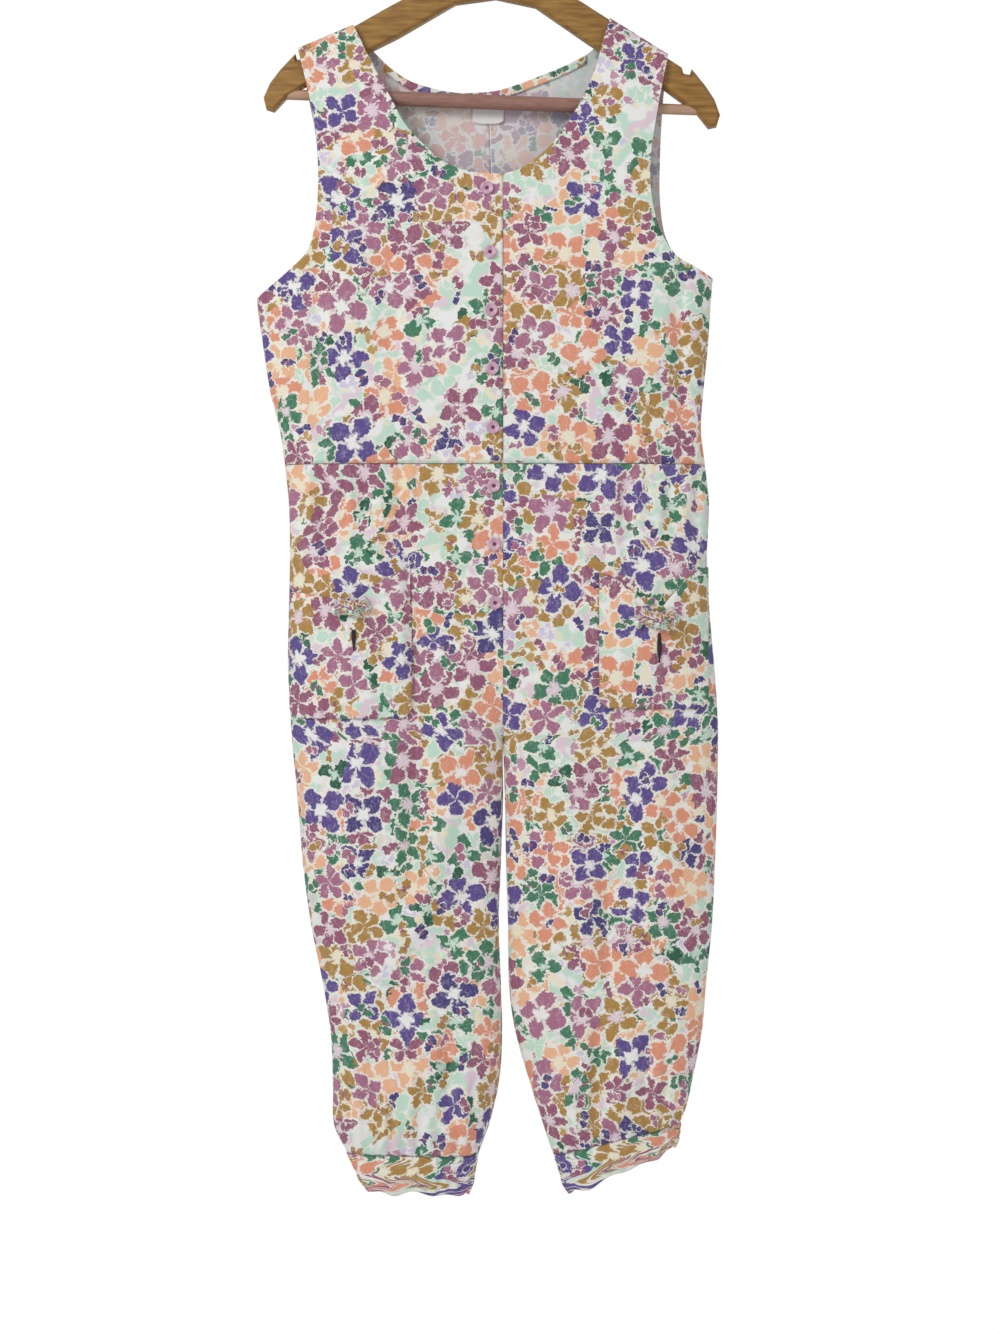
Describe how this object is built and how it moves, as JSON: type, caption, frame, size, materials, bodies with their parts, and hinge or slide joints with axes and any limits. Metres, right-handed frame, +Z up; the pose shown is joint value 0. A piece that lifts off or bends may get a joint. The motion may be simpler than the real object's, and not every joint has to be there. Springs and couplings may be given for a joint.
{
  "type": "romper on a wooden clothes hanger",
  "caption": "Sleeveless button-front one-piece with floral print, tie patch pockets and gathered elastic hems, hung on a wooden hanger with a trouser bar",
  "frame": {"origin": "where the inside top of the hanger's hook rests on a rail", "axes": "+Z up, -Y the front of the garment, +X the wearer's left"},
  "size_m": [0.4627, 0.0805, 1.3018],
  "materials": {
    "print_cloth": "matte cotton, floral print",
    "label_cloth": "white satin weave, blank",
    "button_plastic": "pearly pink",
    "hanger_wood": "clear varnish",
    "bar_wood": "bare dowel",
    "bar_sleeve": "matte non-slip sleeve",
    "hook_steel": "plated wire"
  },
  "bodies": {
    "root": {"bar_sleeve": "bar_sleeve", "bodice_back_left": "print_cloth", "bodice_back_right": "print_cloth", "bodice_front_left": "print_cloth", "bodice_front_right": "print_cloth", "button_1": "button_plastic", "button_2": "button_plastic", "button_3": "button_plastic", "button_4": "button_plastic", "button_5": "button_plastic", "button_6": "button_plastic", "button_7": "button_plastic", "button_8": "button_plastic", "button_stand": "print_cloth", "cuff_left": "print_cloth", "cuff_right": "print_cloth", "hanger_arms": "hanger_wood", "hook": "hook_steel", "label": "label_cloth", "leg_back_left": "print_cloth", "leg_back_right": "print_cloth", "leg_front_left": "print_cloth", "leg_front_right": "print_cloth", "neck_facing": "print_cloth", "pocket_knot_left": "print_cloth", "pocket_knot_right": "print_cloth", "pocket_left": "print_cloth", "pocket_right": "print_cloth", "trouser_bar": "bar_wood"}
  },
  "joints": []
}
